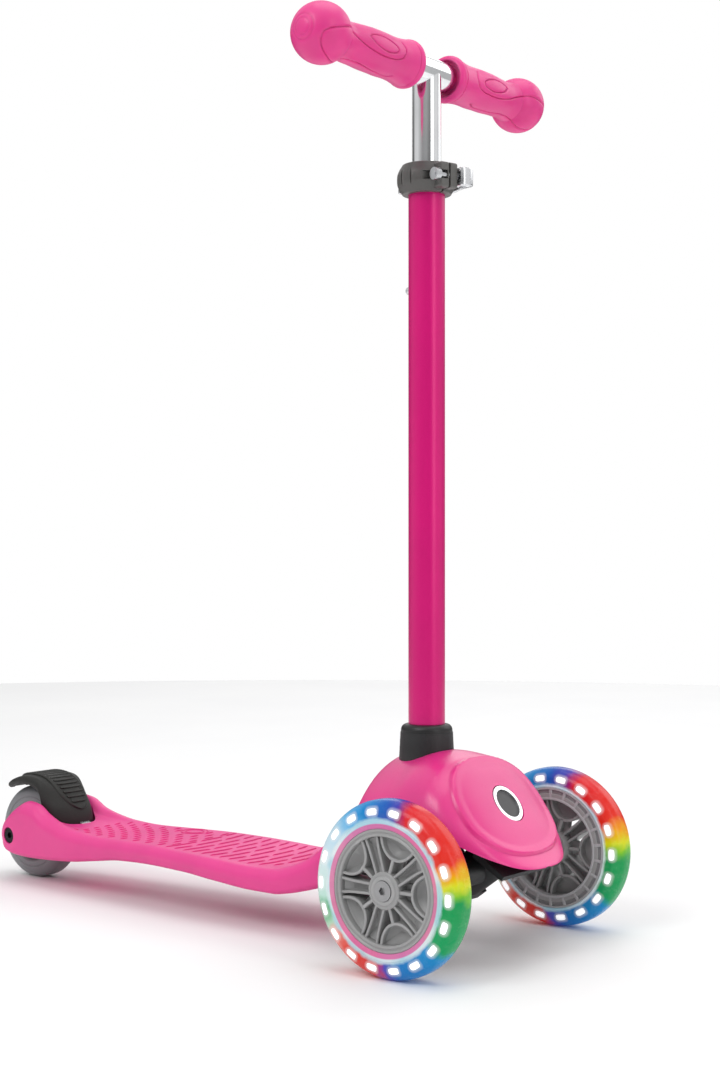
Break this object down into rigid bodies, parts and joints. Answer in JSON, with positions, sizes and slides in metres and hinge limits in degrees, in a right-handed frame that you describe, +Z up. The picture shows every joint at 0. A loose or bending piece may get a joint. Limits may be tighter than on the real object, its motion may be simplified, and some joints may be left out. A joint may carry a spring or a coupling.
{
  "type": "kick scooter",
  "caption": "Child's three-wheel lean-to-steer kick scooter with a sliding T-bar, light-up clear front wheels, steering lock and rear fender brake.",
  "frame": {"origin": "on the ground, under the middle of the scooter's overall length and width", "axes": "+X forward, +Y to the rider's left, +Z up"},
  "size_m": [0.5665, 0.2896, 0.6613],
  "materials": {
    "chrome": "polished",
    "grip": "soft matte",
    "bush": "matte",
    "painted_tube": "satin paint",
    "steel": "zinc plated",
    "spring_steel": "drawn wire",
    "clamp": "satin",
    "lever": "cast, satin",
    "black_plastic": "moulded, matte",
    "deck": "moulded, satin",
    "nose": "moulded, satin",
    "bezel": "satin",
    "lock_button": "satin",
    "clear_tyre": "clear polyurethane",
    "hub": "moulded, satin",
    "lamps": "lit lamps",
    "bearing": "ground",
    "magnet": "coated",
    "rear_tyre": "polyurethane",
    "rear_hub": "moulded",
    "brake": "moulded, textured pad"
  },
  "bodies": {
    "frame": {"lower_stem_tube": "painted_tube", "stem_top_bush": "bush", "guide_pin": "steel", "clamp_collar": "clamp", "clamp_bolt": "steel", "clamp_nut": "steel", "clamp_lever_pin": "steel", "stem_seal_ring": "black_plastic", "steering_housing": "black_plastic", "stem_lock_bolt": "steel", "stem_lock_nut": "steel", "deck": "deck", "deck_screws": "steel", "nose_cover": "nose", "nose_screws": "steel", "under_cover": "black_plastic", "lock_bezel": "bezel", "lock_spring": "spring_steel", "kingpin": "steel", "kingpin_nut": "steel", "centring_springs": "spring_steel", "rear_bearing_spacer": "steel", "rear_side_spacers": "steel", "rear_axle_bolt": "steel", "rear_axle_nut": "steel", "brake_pin": "steel", "brake_spring": "spring_steel"},
    "handlebar": {"crossbar": "chrome", "upper_stem_tube": "chrome", "grip_right": "grip", "grip_left": "grip", "upper_stem_bush": "bush"},
    "quick_release": {"clamp_lever": "lever"},
    "front_truck": {"truck": "black_plastic", "pivot_bushes": "bush", "front_axle_bolt_right": "steel", "front_axle_bolt_left": "steel", "bearing_spacer_right": "steel", "bearing_spacer_left": "steel", "magnet_ring_right": "magnet", "magnet_ring_left": "magnet"},
    "front_wheel_right": {"front_tyre_right": "clear_tyre", "front_hub_right": "hub", "light_ring_right": "lamps", "front_bearings_right": "bearing"},
    "front_wheel_left": {"front_tyre_left": "clear_tyre", "front_hub_left": "hub", "light_ring_left": "lamps", "front_bearings_left": "bearing"},
    "rear_wheel": {"rear_tyre": "rear_tyre", "rear_hub": "rear_hub", "rear_bearings": "bearing"},
    "brake": {"brake_fender": "brake"},
    "lock": {"lock_button": "lock_button", "lock_plunger": "steel"}
  },
  "joints": [
    {"name": "handlebar_height", "type": "slide", "parent": "frame", "child": "handlebar", "axis": [0, 0, 1], "range_m": [0, 0.1]},
    {"name": "clamp_lever_swing", "type": "hinge", "parent": "frame", "child": "quick_release", "pos_m": [0.20085, 0.00854, 0.56], "axis": [0, 0, -1], "range_deg": [0, 140]},
    {"name": "lean_steer", "type": "hinge", "parent": "frame", "child": "front_truck", "pos_m": [0.22275, 0, 0.0605], "axis": [0.809, 0, 0.5878], "range_deg": [-20, 20], "stiffness_Nm_per_rad": 12, "deforming": ["centring_springs"]},
    {"name": "front_wheel_right_spin", "type": "hinge", "parent": "front_truck", "child": "front_wheel_right", "pos_m": [0.22275, -0.1065, 0.0605], "axis": [0, 1, 0], "continuous": true},
    {"name": "front_wheel_left_spin", "type": "hinge", "parent": "front_truck", "child": "front_wheel_left", "pos_m": [0.22275, 0.1065, 0.0605], "axis": [0, 1, 0], "continuous": true},
    {"name": "rear_wheel_spin", "type": "hinge", "parent": "frame", "child": "rear_wheel", "pos_m": [-0.24325, 0, 0.04], "axis": [0, 1, 0], "continuous": true},
    {"name": "brake_press", "type": "hinge", "parent": "frame", "child": "brake", "pos_m": [-0.18925, 0, 0.048], "axis": [0, -1, 0], "range_deg": [0, 1.9], "stiffness_Nm_per_rad": 20, "springref_deg": -1.72},
    {"name": "lock_press", "type": "slide", "parent": "frame", "child": "lock", "axis": [-0.809, 0, -0.5878], "range_m": [0, 0.005], "stiffness_N_per_m": 400, "springref_m": -0.002, "deforming": ["lock_spring"]}
  ]
}
